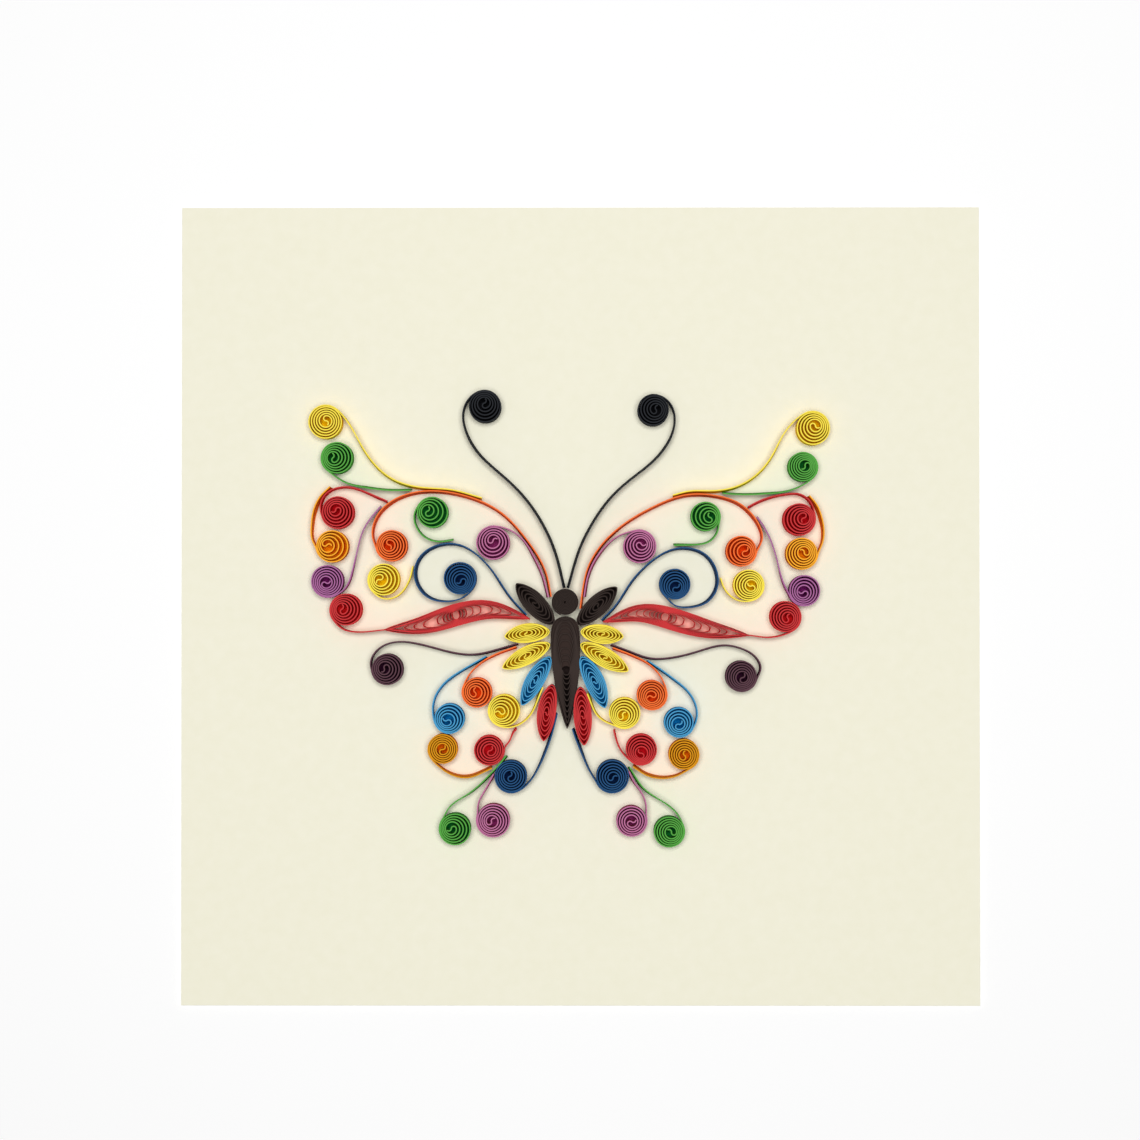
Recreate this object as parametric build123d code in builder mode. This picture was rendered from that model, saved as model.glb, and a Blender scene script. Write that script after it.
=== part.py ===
from build123d import *

import os
from bisect import bisect_left
from math import ceil, cos, pi, sin, sqrt

# A butterfly of quilled paper on a square card. Each piece is one strip of paper that stands on edge on
# the card. Lengths are in millimetres and angles in degrees. The card lies flat with its back at Z = 0,
# +Y is the butterfly's head end, and every place below is measured from the butterfly's own origin, which
# lies a little below the card's centre.

# Card and paper
card_side = 150.0
card_thickness = 0.6
paper_thickness = 0.25
strip_width = 3.0
butterfly_drop = 0.15

# Coils: each turn is drawn with straight facets, wider ones towards the core; the first turn keeps to the
# rim and the later ones close in faster
coil_turns = 2.4
coil_facets = 21
coil_core_radius = 0.9
coil_closing = 1.4
core_facet_spread = 0.5

# Tails: a facet is used up by this much bend or by this much length
tail_facet_angle = 32.0
tail_facet_length = 12.0
tail_stations = 90

# Petals, body and leaves: pinched coils, drawn with this many facets to a turn; they keep their full size
# for this share of the first turn and then close in evenly
full_turn_share = 0.75
petal_turns = 2
petal_facets = 12
petal_core_length = 1.3
petal_core_width = 0.5
petal_tip_point = 1.7
petal_end_point = 1.25
body_turns = 2
body_facets = 16
body_core_length = 4.0
body_core_width = 0.7
body_widest = 0.8
body_fullness = 0.76
body_shoulder_power = 20
leaf_turns = 2
leaf_facets = 14
leaf_core_share = 0.14
leaf_core_inset = 1.25
leaf_half_width = 2.15
leaf_fullness = 0.75
leaf_crescent = 0.6

# The head's tight coil and the tapering body, from its tip to its shoulder
head_centre = (-2.8, 0.9)
head_radius = 2.6
head_leave_angle = 250
body_tip = (-2.4, -22.7)
body_shoulder = (-2.9, -1.85)
body_half_width = 2.7
left_flank = body_shoulder[0] - body_half_width
right_flank = body_shoulder[0] + body_half_width

CCW = 1
CW = -1

# Scrolls: coil centre, coil radius, the core's shift off centre, winding from the core outwards,
# the angle at which the tail leaves the coil, and the points that the tail passes on its way out
scrolls = {
    "left_antenna": ((-17.9, 37.5), 3.05, (0.0, 0.4), CCW, 92,
        [(-20.5, 39.3), (-21.9, 36.6), (-21.5, 32.9), (-19.5, 29.1), (-15.4, 25.1), (-11.1, 21.0),
         (-7.4, 15.8), (-4.7, 9.7), (-3.15, 3.7)]),
    "right_antenna": ((13.7, 36.8), 2.95, (0.4, 0.1), CW, 80,
        [(16.4, 38.5), (17.6, 36.2), (17.5, 33.2), (15.9, 29.7), (13.3, 26.8), (9.3, 23.6), (5.5, 20.0),
         (2.7, 16.1), (-0.1, 10.5), (-2.2, 3.7)]),
    "left_yellow_tip_scroll": ((-47.6, 34.6), 3.2, (0.1, 0.2), CW, 46,
        [(-43.1, 34.0), (-40.1, 28.9), (-35.0, 23.9), (-29.1, 22.3), (-24.0, 21.9), (-18.4, 20.4)]),
    "right_yellow_tip_scroll": ((43.4, 33.4), 3.2, (0.5, 0.4), CCW, 117,
        [(40.2, 34.9), (38.0, 32.3), (35.7, 28.1), (32.5, 24.4), (28.5, 22.3), (24.4, 21.7), (20.1, 21.6),
         (17.3, 20.9)]),
    "left_green_tip_scroll": ((-45.5, 27.8), 3.0, (-0.7, 0.1), CCW, 200,
        [(-46.6, 25.0), (-44.0, 23.3), (-40.7, 22.4), (-35.6, 21.8), (-31.7, 21.8)]),
    "right_green_tip_scroll": ((41.6, 26.1), 2.8, (0.4, 0.2), CW, 318,
        [(41.8, 22.9), (39.0, 21.7), (34.5, 21.1), (29.3, 21.0), (26.6, 21.2)]),
    "left_red_outer_scroll": ((-45.4, 17.7), 3.05, (-0.3, 0.4), CW, 201,
        [(-48.6, 18.7), (-47.7, 21.0), (-45.7, 22.2), (-43.1, 22.4), (-40.1, 21.5), (-36.1, 19.8)]),
    "right_red_outer_scroll": ((40.9, 16.4), 3.05, (0.8, 0.2), CCW, 9,
        [(43.0, 19.6), (40.9, 21.1), (38.6, 21.1), (35.8, 20.6), (33.0, 19.6), (31.3, 18.7)]),
    "left_amber_outer_scroll": ((-46.4, 11.4), 3.05, (-0.9, 0.2), CW, 194,
        [(-50.1, 12.5), (-50.3, 14.9), (-49.8, 18.3), (-48.5, 20.8), (-46.8, 22.5)]),
    "right_amber_outer_scroll": ((41.4, 10.0), 3.0, (0.4, 0.2), CCW, 350,
        [(45.1, 11.6), (45.5, 14.4), (45.0, 17.1), (44.1, 19.2), (42.8, 20.8)]),
    "left_purple_outer_scroll": ((-47.2, 4.8), 3.05, (-0.3, -0.3), CCW, 293,
        [(-43.9, 3.6), (-42.6, 6.7), (-41.6, 10.8), (-40.6, 14.2), (-39.2, 16.5), (-37.3, 18.8)]),
    "right_purple_outer_scroll": ((41.8, 3.1), 2.95, (-0.2, -0.4), CW, 204,
        [(38.0, 4.3), (37.0, 7.6), (35.8, 11.7), (34.3, 14.9), (33.0, 16.8)]),
    "left_orange_wing_scroll": ((-35.3, 11.5), 2.95, (-0.4, 0.1), CW, 196,
        [(-38.8, 12.9), (-37.8, 17.3), (-33.7, 20.6), (-28.1, 21.7), (-21.6, 20.8), (-15.0, 17.8),
         (-9.8, 12.3), (-6.3, 6.1), (-5.4, 2.3)]),
    "right_orange_wing_scroll": ((30.1, 10.5), 2.9, (0.7, -0.1), CCW, 349,
        [(33.9, 12.3), (33.0, 16.0), (29.6, 19.4), (24.6, 20.9), (19.6, 20.9), (14.0, 18.9), (8.3, 15.6),
         (4.2, 11.9), (1.35, 7.2), (0.3, 2.3), (-0.05, -0.3)]),
    "left_green_inner_scroll": ((-27.7, 17.6), 2.95, (-0.7, 0.3), CCW, 147,
        [(-31.0, 17.4), (-30.4, 14.5), (-28.7, 12.8), (-26.3, 12.2), (-23.8, 12.5)]),
    "right_green_inner_scroll": ((23.4, 16.8), 2.8, (0.6, -0.1), CW, 345,
        [(25.7, 14.3), (24.1, 12.2), (21.4, 11.6), (17.5, 11.5)]),
    "left_pink_inner_scroll": ((-16.2, 12.0), 3.2, (-0.1, 0.4), CW, 83,
        [(-13.2, 14.4), (-10.4, 12.2), (-8.5, 9.1), (-7.0, 5.8), (-5.95, 1.8)]),
    "right_pink_inner_scroll": ((11.0, 11.3), 3.15, (0.4, 0.4), CCW, 104,
        [(7.4, 13.4), (4.65, 11.3), (2.35, 8.1), (1.2, 5.0), (0.7, 1.9)]),
    "left_yellow_inner_scroll": ((-36.7, 5.0), 3.05, (-0.8, 0.1), CCW, 225,
        [(-36.9, 1.6), (-34.5, 1.9), (-32.6, 3.8), (-31.7, 5.8), (-31.3, 7.6)]),
    "right_yellow_inner_scroll": ((31.4, 4.0), 2.95, (0.5, -0.1), CW, 286,
        [(30.0, 1.1), (27.8, 2.3), (26.7, 3.9), (26.2, 5.4)]),
    "left_blue_loop_scroll": ((-22.5, 5.3), 3.05, (0.2, -0.5), CW, 336,
        [(-22.0, 1.75), (-25.3, 1.0), (-28.5, 1.8), (-30.6, 4.3), (-30.9, 7.4), (-29.2, 10.2), (-26.1, 11.7),
         (-22.5, 11.6), (-19.1, 9.6), (-16.0, 6.2), (-13.0, 1.8), (-11.0, -0.5)]),
    "right_blue_loop_scroll": ((17.7, 4.2), 2.9, (0.2, -0.6), CCW, 226,
        [(17.5, 0.4), (20.5, -0.1), (23.7, 0.9), (25.6, 3.7), (25.3, 7.2), (23.4, 9.8), (20.3, 11.0),
         (17.0, 10.7), (13.2, 8.5), (9.4, 4.6), (6.4, 0.1), (3.9, -2.5)]),
    "left_plum_scroll": ((-36.1, -11.6), 2.95, (-0.5, 0.1), CW, 194,
        [(-39.2, -10.5), (-37.8, -7.9), (-35.0, -6.6), (-30.9, -6.7), (-25.3, -8.1), (-19.9, -8.8),
         (-15.2, -7.8), (-11.7, -6.8)]),
    "right_plum_scroll": ((30.1, -12.9), 2.95, (0.2, -0.3), CCW, 342,
        [(33.7, -11.4), (32.7, -9.3), (30.0, -7.7), (26.8, -7.1), (22.4, -8.1), (17.1, -9.4), (13.0, -9.5),
         (9.1, -8.2), (5.8, -7.0)]),
    "left_orange_lower_scroll": ((-19.3, -15.9), 2.85, (-0.4, 0.0), CW, 157,
        [(-21.0, -13.0), (-18.8, -10.6), (-16.0, -8.9), (-12.0, -7.4)]),
    "right_orange_lower_scroll": ((13.4, -16.4), 2.85, (-0.1, -0.3), CCW, 12,
        [(15.3, -13.5), (13.0, -10.8), (9.7, -9.0), (6.1, -7.6)]),
    "left_light_blue_scroll": ((-24.5, -20.8), 2.85, (-0.3, -0.3), CW, 221,
        [(-27.5, -20.4), (-27.3, -17.2), (-25.5, -14.3), (-21.6, -11.5), (-17.6, -9.2)]),
    "right_light_blue_scroll": ((18.5, -21.5), 2.85, (-0.1, -0.4), CCW, 330,
        [(21.8, -20.5), (21.5, -18.1), (20.1, -15.7), (17.7, -13.6), (15.1, -11.7), (12.6, -10.0)]),
    "left_yellow_lower_scroll": ((-14.2, -19.4), 3.05, (-0.8, -0.3), CCW, 236,
        [(-13.5, -22.5), (-10.8, -21.6), (-8.9, -19.5), (-7.9, -17.2), (-7.0, -15.0)]),
    "right_yellow_lower_scroll": ((8.2, -19.8), 2.95, (-0.3, -0.5), CW, 243,
        [(4.6, -21.4), (2.9, -19.9), (right_flank + 2.2, -18.0), (right_flank + 1.5, -16.2)]),
    "left_ochre_scroll": ((-25.7, -26.6), 2.8, (0.0, 0.0), CCW, 217,
        [(-25.9, -30.2), (-23.3, -31.6), (-20.6, -31.8), (-18.2, -30.9), (-16.5, -30.1)]),
    "right_ochre_scroll": ((19.3, -27.6), 2.9, (0.1, -0.1), CW, 297,
        [(18.3, -31.4), (15.1, -32.0), (12.1, -31.3), (9.8, -29.8)]),
    "left_red_lower_scroll": ((-17.0, -26.7), 2.85, (0.2, -0.1), CCW, 1,
        [(-13.3, -25.2), (-12.5, -23.5), (-11.9, -22.8)]),
    "right_red_lower_scroll": ((11.3, -26.6), 2.95, (0.0, -0.7), CW, 227,
        [(7.7, -27.0), (6.6, -24.5), (6.2, -23.0)]),
    "left_dark_blue_scroll": ((-12.9, -31.7), 3.05, (-0.2, 0.1), CCW, 271,
        [(-10.1, -33.3), (-7.9, -30.2), (-6.3, -26.7), (-5.1, -23.1), (-4.3, -19.9)]),
    "right_dark_blue_scroll": ((5.9, -31.6), 3.15, (0.2, -0.3), CW, 209,
        [(1.6, -30.4), (0.2, -27.3), (-0.8, -24.8), (-1.5, -22.8)]),
    "left_green_lower_scroll": ((-23.4, -41.4), 3.0, (-0.7, 0.0), CW, 146,
        [(-24.6, -37.6), (-21.4, -35.2), (-18.2, -32.6), (-16.1, -30.4), (-14.9, -29.1), (-13.9, -27.8)]),
    "right_green_lower_scroll": ((16.6, -41.9), 2.9, (0.4, -0.1), CCW, 18,
        [(17.7, -38.2), (14.2, -35.6), (11.7, -33.7), (10.1, -31.4), (9.2, -29.9)]),
    "left_pink_lower_scroll": ((-16.3, -39.8), 3.15, (-0.3, -0.2), CW, 168,
        [(-19.1, -36.9), (-18.0, -34.5), (-16.9, -32.5), (-16.2, -31.2)]),
    "right_pink_lower_scroll": ((9.6, -39.9), 2.9, (0.0, -0.2), CCW, 11,
        [(12.3, -37.3), (11.4, -34.6), (9.9, -32.4), (9.1, -30.7)]),
}

# Leaves: a scroll as above whose tail is a short neck, and the leaf's middle line from the neck inwards
leaves = {
    "left_red_leaf": ((-43.8, -0.6), 3.05, (-0.7, 0.2), CCW, 216, [(-44.6, -4.0), (-41.6, -4.7)],
        [(-36.7, -4.3), (-30.0, -3.5), (-23.4, -1.55), (-16.9, -0.55), (-9.5, -2.2)]),
    "right_red_leaf": ((38.3, -1.9), 2.95, (0.4, -0.2), CW, 308, [(37.7, -5.3), (35.1, -5.7)],
        [(31.5, -5.3), (24.6, -4.3), (17.3, -2.3), (10.8, -1.2), (4.3, -2.8)]),
}

# Petals: outer tip, inner end set off from the body's flank, half the width, and the bend to the left of
# the line between
petals = {
    "left_dark_petal": ((-12.0, 4.4), (left_flank + 0.5, -3.1), 2.0, 0.0),
    "right_dark_petal": ((6.9, 3.7), (right_flank - 0.25, -3.2), 1.95, 0.0),
    "left_upper_yellow_petal": ((-14.2, -5.5), (left_flank - 0.2, -4.6), 1.8, 0.15),
    "right_upper_yellow_petal": ((8.1, -5.6), (right_flank + 0.35, -4.6), 1.8, 0.0),
    "left_lower_yellow_petal": ((-14.6, -11.4), (left_flank - 0.15, -6.9), 1.7, 0.0),
    "right_lower_yellow_petal": ((9.0, -12.0), (right_flank + 0.3, -6.9), 1.8, 0.0),
    "left_blue_petal": ((-11.0, -18.4), (left_flank - 0.05, -9.3), 1.72, 0.2),
    "right_blue_petal": ((4.65, -18.9), (right_flank + 0.45, -9.3), 1.78, -0.3),
    "left_red_petal": ((-6.9, -25.1), (left_flank + 0.35, -14.5), 1.75, 0.25),
    "right_red_petal": ((0.7, -25.9), (right_flank + 0.25, -15.0), 1.62, -0.1),
}


def strip(name, path):
    """A strip of paper on edge along a path of straight facets, mitred where two facets meet."""
    runs = [(end - start).normalized() for start, end in zip(path, path[1:])]
    across = [Vector(-run.Y, run.X) for run in runs]
    mitres = [
        (before + after) * (paper_thickness / 2 / (1 + before.dot(after)))
        for before, after in zip([across[0], *across], [*across, across[-1]])
    ]
    one_side = [point + mitre for point, mitre in zip(path, mitres)]
    other_side = [point - mitre for point, mitre in zip(path, mitres)]
    with BuildPart() as paper:
        with BuildSketch(Plane((0, -butterfly_drop, card_thickness))):
            with BuildLine():
                Polyline(*one_side, *reversed(other_side), close=True)
            make_face()
        extrude(amount=strip_width)
    paper.part.label = name
    export_step(paper.part, f"parts/{name}.step")


def coil_path(centre, radius, core_shift, winding, leave_angle):
    """Points from the core out to the rim; the centre slides and the radius grows with the turn."""
    rim_radius = radius - paper_thickness / 2
    points = []
    for i in range(coil_facets, -1, -1):
        wound = i / coil_facets
        wound *= (1 + core_facet_spread * wound) / (1 + core_facet_spread)
        angle = leave_angle - winding * wound * coil_turns * 360
        inward = wound ** coil_closing
        reach = rim_radius + (coil_core_radius - rim_radius) * inward
        points.append(Vector(centre) + Vector(core_shift) * inward + Vector(reach, 0).rotate(Axis.Z, angle))
    return points


def tail_path(start, heading, route):
    """Facet points along the smooth curve through the route, closer together where it bends more."""
    with BuildLine() as tail:
        Spline(start, *route, tangents=(heading, route[-1] - route[-2]), tangent_scalars=(1, 1))
    curve = tail.edge()
    stations = [i / tail_stations for i in range(tail_stations + 1)]
    headings = [curve % station for station in stations]
    used = [0.0]
    for before, after in zip(headings, headings[1:]):
        bend = before.get_angle(after) / tail_facet_angle
        used.append(used[-1] + bend + curve.length / tail_stations / tail_facet_length)
    facets = ceil(used[-1])
    corners = [bisect_left(used, used[-1] * i / facets) for i in range(1, facets)]
    return [curve @ stations[corner] for corner in corners] + [route[-1]]


def scroll_path(centre, radius, core_shift, winding, leave_angle, route):
    """A coil from its core outwards, and the tail that leaves its rim along the way that it winds."""
    coil = coil_path(centre, radius, core_shift, winding, leave_angle)
    heading = Vector(winding, 0).rotate(Axis.Z, leave_angle + 90)
    return coil + tail_path(coil[-1], heading, [Vector(point) for point in route])


def pinched_path(tip, far_end, half_width, bend, turns, facets, core_length, core_width, share):
    """A coil pinched to a point, from its tip inwards: its half width goes with the share at each angle, and
    length and width shrink turn by turn."""
    middle = (Vector(tip) + Vector(far_end)) / 2
    half_axis = (Vector(far_end) - Vector(tip)) / 2
    along = half_axis.normalized()
    across = Vector(-along.Y, along.X)
    half_length = half_axis.length - paper_thickness / 2
    points = []
    for i in range(turns * facets + 1):
        inward = max(i / facets - full_turn_share, 0) / (turns - full_turn_share)
        angle = i / facets * 2 * pi
        length = half_length + (core_length - half_length) * inward
        width = half_width - paper_thickness / 2
        width += (core_width - width) * inward
        side = 1 if sin(angle) > 0 else -1
        reach = -length * cos(angle)
        bow = bend * (1 - (reach / half_length) ** 2)
        points.append(middle + along * reach + across * (side * width * share(angle) + bow))
    return points


def petal_share(angle):
    """Pointed at the tip and blunter at the end by the body."""
    point = petal_tip_point if cos(angle) > 0 else petal_end_point
    return abs(sin(angle)) ** point


def body_share(angle):
    """Swells from the tip as a power of a sine and closes off round at the shoulder."""
    way = (1 - cos(angle)) / 2
    return sin(pi / 2 * way / body_widest) ** body_fullness * sqrt(1 - way ** body_shoulder_power)


def leaf_path(middle_line):
    """A long coil pinched flat along a curved middle line; inner turns are shorter, with crescent ends."""
    with BuildLine() as middle:
        Spline(*middle_line)
    line = middle.edge()
    points = []
    for i in range(leaf_turns * leaf_facets + 1):
        inward = max(i / leaf_facets - full_turn_share, 0) / (leaf_turns - full_turn_share)
        angle = i / leaf_facets * 2 * pi
        span = 0.5 + (leaf_core_share - 0.5) * inward
        station = 0.5 - span * cos(angle)
        fullness = max(sin(pi * station), 0.0) ** leaf_fullness
        width = (leaf_half_width - paper_thickness / 2) * fullness - leaf_core_inset * inward
        width *= abs(sin(angle)) ** (leaf_crescent * inward)
        heading = line % station
        side = 1 if sin(angle) > 0 else -1
        points.append(line @ station + Vector(-heading.Y, heading.X) * (width * side))
    return points


os.makedirs("parts", exist_ok=True)

with BuildPart() as card:
    with BuildSketch(Plane.XY):
        Rectangle(card_side, card_side)
    extrude(amount=card_thickness)
card.part.label = "card"
export_step(card.part, "parts/card.step")

strip("head", coil_path(head_centre, head_radius, (0, 0), CCW, head_leave_angle))
strip("body", pinched_path(body_tip, body_shoulder, body_half_width, 0, body_turns, body_facets,
                           body_core_length, body_core_width, body_share))

for name, row in petals.items():
    strip(name, pinched_path(*row, petal_turns, petal_facets, petal_core_length, petal_core_width, petal_share))

for name, row in scrolls.items():
    strip(name, scroll_path(*row))

for name, (*coil, neck, middle_line) in leaves.items():
    leaf = leaf_path(middle_line)
    strip(name, scroll_path(*coil, [*neck, leaf[0]]) + leaf[1:])
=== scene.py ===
import bpy
import numpy as np
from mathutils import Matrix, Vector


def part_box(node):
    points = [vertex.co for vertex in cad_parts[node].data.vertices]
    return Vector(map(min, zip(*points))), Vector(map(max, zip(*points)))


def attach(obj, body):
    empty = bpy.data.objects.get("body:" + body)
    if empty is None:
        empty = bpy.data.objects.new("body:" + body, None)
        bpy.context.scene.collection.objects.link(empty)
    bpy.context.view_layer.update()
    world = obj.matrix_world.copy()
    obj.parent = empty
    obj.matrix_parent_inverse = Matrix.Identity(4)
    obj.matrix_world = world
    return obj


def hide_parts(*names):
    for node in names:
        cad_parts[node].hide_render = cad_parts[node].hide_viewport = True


# A quilled butterfly: strips of coloured paper rolled, pinched and glued on edge to a square card.
# Lengths are in millimetres and angles in degrees; MM turns them into the scene's metres.

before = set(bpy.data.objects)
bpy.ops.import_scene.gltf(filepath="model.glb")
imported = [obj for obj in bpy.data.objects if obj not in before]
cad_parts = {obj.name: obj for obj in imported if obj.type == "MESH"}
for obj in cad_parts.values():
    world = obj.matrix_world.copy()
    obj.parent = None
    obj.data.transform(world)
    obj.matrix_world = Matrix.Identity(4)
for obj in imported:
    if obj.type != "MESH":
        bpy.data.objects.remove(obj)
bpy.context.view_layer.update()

MM = 0.001
CARD_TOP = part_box("card")[1][2] / MM
STRIP_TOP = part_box("head")[1][2] / MM

# Paper and winding
PAPER = 0.23              # thickness of a quilling strip
PITCH = 1.03              # from one turn to the next where the turns lie against each other, in thicknesses
TOUCHING = PITCH * PAPER
EDGE_WAVER = 0.03         # how far the strips' top edges wander up and down
EDGE_WAVES = (1.9, 5.3)   # the lengths of those waves for each radian
EDGE_CORNER = 50          # the least angle between faces that shows as a sharp edge
SAME_PLACE = 1e-4         # points closer than this are taken as one
LEAST_SQUARE = 0.5        # holds back the mitre where a strip doubles back
STEP = 0.3                # spacing of points along a tail
LEAST_POINTS = 12         # points on the shortest tail
TURN_STEPS = 56           # points on one turn of a coil
CORE_RING = 0.95          # radius of the turn that the slotted winding tool leaves round its slot
HOOK_BEND = 11.0          # bend from point to point along a core's hook
HOOK_STEPS = (16, 12)     # points on the hook's half turn, and on the turn back
MOST_TURNS = 5.2          # the most that a scroll's coil is wound
SHADE_FILM = 0.02               # height of a film under a coil, as a share of the strip's: a sheet in the foot's colour, painted shade and coloured bounce light on the floor of the coil
FOOT_SHADE_HEIGHT = 0.12              # share of a strip's height up which its foot is painted with the shade and coloured bounce light of the coil's pits
NECK_COIL_SHADE_FILM = FOOT_SHADE_HEIGHT    # the painted-shade film under the coil at a leaf's neck reaches up to the strip's own red
BODY_FILL = 0.8           # the same for the body's upper half, which is packed full
TOP_HIGHLIGHT_FROM = 0.94           # share of a strip's height above which its top edge is painted paler, a painted highlight where the light falls
FIBRE_LENGTH = 2.0        # fibres in the paper as they are drawn, and how many lie side by side up a strip
FIBRES_UP = 7.5
FIBRE_DEPTH = 0.04
CARD_CLOUD = 2.0          # the card's mottling and its tooth, across, and the tooth's depth
CARD_TOOTH = 0.3
CARD_TOOTH_DEPTH = 0.03
RIM_HOLD = 0.4            # share of the first turn that keeps to the rim
SPRING = 0.05             # how far a rim springs out past its measured radius
BUTTERFLY_DROP = 0.15     # the butterfly sits this much below the card's centre
TAIL_LEAN = 0.3           # how far a tail's glued edge stands to one side of its upper edge
LEAN_START = 0.5          # how far outside the rim a tail starts to lean
LEAN_RUN = 4              # and the distance in which it reaches its full lean
LEAF_PAPER = 0.11         # thickness of the strip where it is pressed flat in a leaf
BODY_PAPER = 0.16         # the same in the body
PETAL_PAPER = 0.2         # the same in a petal
PETAL_TURNS = 5.8
PETAL_HOLD = 0.95         # turns of a petal that keep its full size
PETAL_POINT = 0.7         # how much sharper than an oval a petal's rim is at its tip
PETAL_BLUNT = 0.35        # the share of that at its inner end
PETAL_POINT_TURNS = 2.5   # turns over which the point fades
FLAT_HOLD = 0.75          # turns of a leaf or the body that keep to the outline
FLAT_CRESCENT = 0.6       # how strongly their inner turns are drawn in at the ends
FLAT_LEAST = 0.1          # least half width of a turn

CCW = 1
CW = -1

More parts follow.
